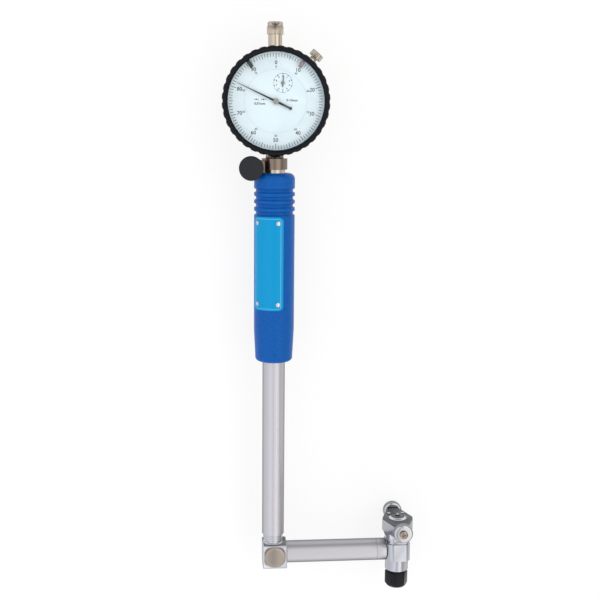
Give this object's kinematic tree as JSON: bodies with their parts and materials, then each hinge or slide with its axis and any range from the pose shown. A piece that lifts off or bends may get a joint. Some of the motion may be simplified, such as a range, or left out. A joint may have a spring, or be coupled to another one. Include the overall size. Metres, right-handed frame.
{
  "type": "dial bore gauge",
  "caption": "Right-angle dial bore gauge lying on its back: lever head with centring bridge, angled tubes, gripped handle and dial indicator.",
  "frame": {"origin": "mouth of the anvil socket, on the measuring axis", "axes": "+Z is the dial normal and points up as the gauge lies on its back; +Y runs along the handle from the elbow to the dial; +X runs along the arm from the elbow to the head"},
  "size_m": [0.1117, 0.3237, 0.0424],
  "materials": {
    "satin_aluminium": "satin",
    "polished_chrome": "polished",
    "ground_steel": "ground",
    "nickel_plate": "satin",
    "clamp_bronze": "brushed",
    "black_plastic": "matte",
    "bezel_black": "satin",
    "black_oxide": "satin",
    "blue_rubber": "leather grained",
    "label_cyan": "satin",
    "dark_steel": "blasted",
    "brass": "satin",
    "dial_white": "matte",
    "clear_crystal": "polished",
    "pointer_black": "satin",
    "case_nickel": "satin",
    "marker_grey": "satin"
  },
  "bodies": {
    "gauge_frame": {"corner_block": "satin_aluminium", "corner_plug": "clamp_bronze", "corner_crank_pin": "ground_steel", "main_tube": "satin_aluminium", "arm_tube": "satin_aluminium", "arm_sleeve": "satin_aluminium", "main_rod_guides": "brass", "arm_rod_guide": "brass", "head_body": "satin_aluminium", "head_crank_pin": "ground_steel", "contact_bush": "brass", "bridge_springs": "ground_steel", "handle_core": "satin_aluminium", "top_rod_guide": "brass", "grip": "blue_rubber", "name_label": "label_cyan", "label_screws": "ground_steel", "clamp_collar": "clamp_bronze"},
    "main_rod": {"main_push_rod": "ground_steel"},
    "elbow_lever": {"corner_crank": "ground_steel"},
    "arm_rod": {"arm_push_rod": "ground_steel"},
    "head_lever": {"head_crank": "ground_steel"},
    "contact": {"measuring_contact": "ground_steel", "contact_tip": "ground_steel"},
    "bridge": {"centring_bridge": "satin_aluminium", "bridge_plate": "dark_steel", "bridge_plate_screws": "ground_steel", "roller_screw_front": "ground_steel", "roller_screw_rear": "ground_steel"},
    "front_wheel": {"roller_front": "polished_chrome"},
    "rear_wheel": {"roller_rear": "polished_chrome"},
    "nut": {"lock_nut": "black_oxide"},
    "clamp_screw": {"clamp_knob": "black_plastic", "clamp_stud": "ground_steel"},
    "indicator": {"dial_case": "case_nickel", "back_cover": "case_nickel", "back_cover_screws": "ground_steel", "stem": "nickel_plate", "cap_tube": "nickel_plate", "inner_dial": "dial_white", "rear_movement_plate": "brass", "front_movement_plate": "brass", "movement_pillars": "brass", "centre_bridge": "brass"},
    "indicator_spindle": {"spindle": "ground_steel", "spindle_foot": "ground_steel"},
    "rack_arbor": {"rack_wheel": "brass"},
    "revolution_arbor": {"revolution_wheel": "brass", "hairspring": "ground_steel", "revolution_pointer": "pointer_black"},
    "pointer_arbor": {"centre_arbor": "ground_steel", "main_pointer": "pointer_black"},
    "bezel": {"bezel_ring": "bezel_black", "dial_ring": "dial_white", "crystal": "clear_crystal"},
    "low_marker": {"limit_marker_low": "pointer_black"},
    "high_marker": {"limit_marker_high": "marker_grey"},
    "bezel_lock": {"bezel_lock_screw": "nickel_plate"},
    "cap": {"dust_cap": "nickel_plate"}
  },
  "joints": [
    {"name": "main_rod_lift", "type": "slide", "parent": "gauge_frame", "child": "main_rod", "axis": [0, 1, 0], "range_m": [0, 0.0013], "stiffness_N_per_m": 300, "springref_m": -0.004},
    {"name": "elbow_lever_turn", "type": "hinge", "parent": "gauge_frame", "child": "elbow_lever", "pos_m": [-0.0707, 0.0236, 0], "axis": [0, 0, 1], "range_deg": [-25.1, 0.1]},
    {"name": "arm_rod_push", "type": "slide", "parent": "gauge_frame", "child": "arm_rod", "axis": [-1, 0, 0], "range_m": [0, 0.0013]},
    {"name": "head_lever_turn", "type": "hinge", "parent": "gauge_frame", "child": "head_lever", "pos_m": [-0.003, 0.0236, 0], "axis": [0, 0, 1], "range_deg": [-25.1, 0.1]},
    {"name": "contact_press", "type": "slide", "parent": "gauge_frame", "child": "contact", "axis": [0, -1, 0], "range_m": [0, 0.0013]},
    {"name": "bridge_press", "type": "slide", "parent": "gauge_frame", "child": "bridge", "axis": [0, -1, 0], "range_m": [0, 0.002], "stiffness_N_per_m": 900, "springref_m": -0.003, "deforming": ["bridge_springs"]},
    {"name": "front_roller_spin", "type": "hinge", "parent": "bridge", "child": "front_wheel", "pos_m": [0, 0.0374, 0.0168], "axis": [0, 0, 1], "continuous": true},
    {"name": "rear_roller_spin", "type": "hinge", "parent": "bridge", "child": "rear_wheel", "pos_m": [0, 0.0374, -0.0168], "axis": [0, 0, 1], "continuous": true},
    {"name": "lock_nut_turn", "type": "hinge", "parent": "gauge_frame", "child": "nut", "pos_m": [0, 0.003, 0], "axis": [0, 1, 0], "continuous": true},
    {"name": "clamp_knob_turn", "type": "hinge", "parent": "gauge_frame", "child": "clamp_screw", "pos_m": [-0.0869, 0.2443, 0.005], "axis": [0, 0, 1], "continuous": true},
    {"name": "indicator_swivel", "type": "hinge", "parent": "gauge_frame", "child": "indicator", "pos_m": [-0.0737, 0.2465, 0], "axis": [0, 1, 0], "continuous": true},
    {"name": "spindle_lift", "type": "slide", "parent": "indicator", "child": "indicator_spindle", "axis": [0, 1, 0], "range_m": [0, 0.0013]},
    {"name": "rack_wheel_turn", "type": "hinge", "parent": "indicator", "child": "rack_arbor", "pos_m": [-0.0774, 0.2702, 0], "axis": [0, 0, 1], "range_deg": [-1, 48]},
    {"name": "revolution_wheel_turn", "type": "hinge", "parent": "indicator", "child": "revolution_arbor", "pos_m": [-0.07, 0.2896, 0], "axis": [0, 0, 1], "range_deg": [-1, 48]},
    {"name": "pointer_turn", "type": "hinge", "parent": "indicator", "child": "pointer_arbor", "pos_m": [-0.0737, 0.2799, 0], "axis": [0, 0, 1], "range_deg": [-475, 5]},
    {"name": "bezel_turn", "type": "hinge", "parent": "indicator", "child": "bezel", "pos_m": [-0.0737, 0.2799, 0.009], "axis": [0, 0, 1], "continuous": true},
    {"name": "low_marker_turn", "type": "hinge", "parent": "bezel", "child": "low_marker", "pos_m": [-0.0737, 0.2799, 0.01], "axis": [0, 0, 1], "range_deg": [-30, 140]},
    {"name": "high_marker_turn", "type": "hinge", "parent": "bezel", "child": "high_marker", "pos_m": [-0.0737, 0.2799, 0.01], "axis": [0, 0, 1], "range_deg": [-140, 30]},
    {"name": "bezel_lock_turn", "type": "hinge", "parent": "indicator", "child": "bezel_lock", "pos_m": [-0.05363, 0.30219, 0.0009], "axis": [0.6691, 0.7431, 0], "continuous": true},
    {"name": "dust_cap_turn", "type": "hinge", "parent": "indicator", "child": "cap", "pos_m": [-0.0737, 0.3186, 0], "axis": [0, 1, 0], "continuous": true}
  ],
  "couplings": [
    {"joint": "elbow_lever_turn", "follows": "main_rod_lift", "rad_per_m": -333.33},
    {"joint": "arm_rod_push", "follows": "main_rod_lift", "ratio": 1},
    {"joint": "head_lever_turn", "follows": "main_rod_lift", "rad_per_m": -333.33},
    {"joint": "contact_press", "follows": "main_rod_lift", "ratio": 1},
    {"joint": "spindle_lift", "follows": "main_rod_lift", "ratio": 1},
    {"joint": "rack_wheel_turn", "follows": "main_rod_lift", "rad_per_m": 628.32},
    {"joint": "revolution_wheel_turn", "follows": "main_rod_lift", "rad_per_m": 628.32},
    {"joint": "pointer_turn", "follows": "main_rod_lift", "rad_per_m": -6283.2}
  ]
}
